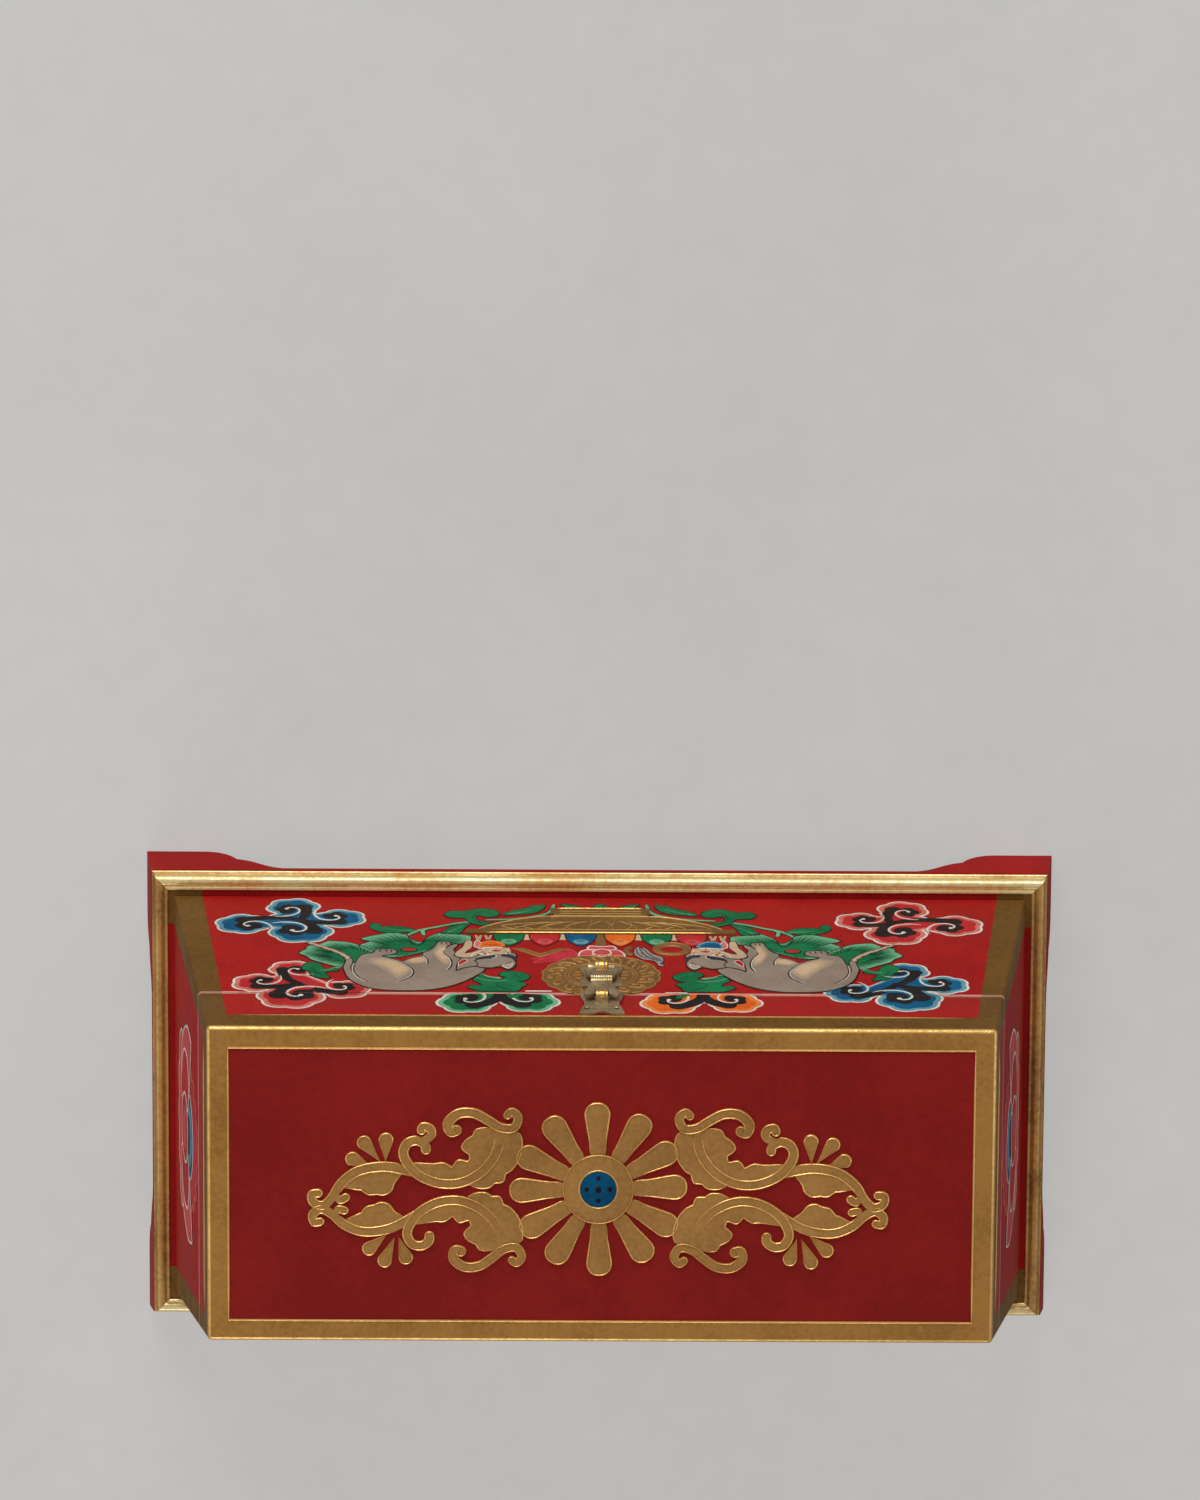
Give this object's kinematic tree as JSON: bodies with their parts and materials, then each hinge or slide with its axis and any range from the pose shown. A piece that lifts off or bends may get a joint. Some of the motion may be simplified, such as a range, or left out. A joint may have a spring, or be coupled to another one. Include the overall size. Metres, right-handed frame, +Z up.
{
  "type": "wooden keepsake box",
  "caption": "Low splay-sided wooden box on a plinth with cusped bracket feet, with a gilt base moulding, a hinged lid and a brass hasp clasp.",
  "frame": {"origin": "middle of the footprint on the floor the feet stand on", "axes": "+Z up; the front, with the clasp, faces -Y; +X to the right as seen from the front"},
  "size_m": [0.3476, 0.1796, 0.1685],
  "materials": {
    "red_lacquer": "satin painted lacquer over gesso",
    "gilding": "aged gold paint over gesso, worn at the edges",
    "bare_wood": "unpainted planed softwood",
    "brass": "aged polished brass"
  },
  "bodies": {
    "carcass": {"plinth_front": "red_lacquer", "plinth_back": "red_lacquer", "plinth_left": "red_lacquer", "plinth_right": "red_lacquer", "foot_block_front_left": "bare_wood", "foot_block_front_right": "bare_wood", "foot_block_back_left": "bare_wood", "foot_block_back_right": "bare_wood", "base_board": "bare_wood", "moulding_front": "gilding", "moulding_back": "gilding", "moulding_left": "gilding", "moulding_right": "gilding", "wall_front": "red_lacquer", "wall_back": "red_lacquer", "wall_left": "red_lacquer", "wall_right": "red_lacquer", "hinge_left_body_leaf": "brass", "hinge_right_body_leaf": "brass", "hinge_left_pin": "brass", "hinge_right_pin": "brass", "hinge_screw_left_body_left": "brass", "hinge_screw_left_body_right": "brass", "hinge_screw_right_body_left": "brass", "hinge_screw_right_body_right": "brass", "clasp_body_plate": "brass", "clasp_pin": "brass", "clasp_nail_body_left": "brass", "clasp_nail_body_right": "brass"},
    "lid": {"lid_panel": "red_lacquer", "lid_rim_front": "red_lacquer", "lid_rim_back": "red_lacquer", "lid_rim_left": "red_lacquer", "lid_rim_right": "red_lacquer", "hinge_left_lid_leaf": "brass", "hinge_right_lid_leaf": "brass", "hinge_screw_left_lid_left": "brass", "hinge_screw_left_lid_right": "brass", "hinge_screw_right_lid_left": "brass", "hinge_screw_right_lid_right": "brass", "clasp_lid_plate": "brass", "clasp_nail_lid_left": "brass", "clasp_nail_lid_right": "brass"},
    "hasp": {"clasp_hasp": "brass"}
  },
  "joints": [
    {"name": "lid_hinge", "type": "hinge", "parent": "carcass", "child": "lid", "pos_m": [0, 0.06334, 0.133], "axis": [-1, 0, 0], "range_deg": [0, 110]},
    {"name": "hasp_hinge", "type": "hinge", "parent": "carcass", "child": "hasp", "pos_m": [0, -0.06908, 0.11467], "axis": [1, 0, 0], "range_deg": [0, 175]}
  ]
}
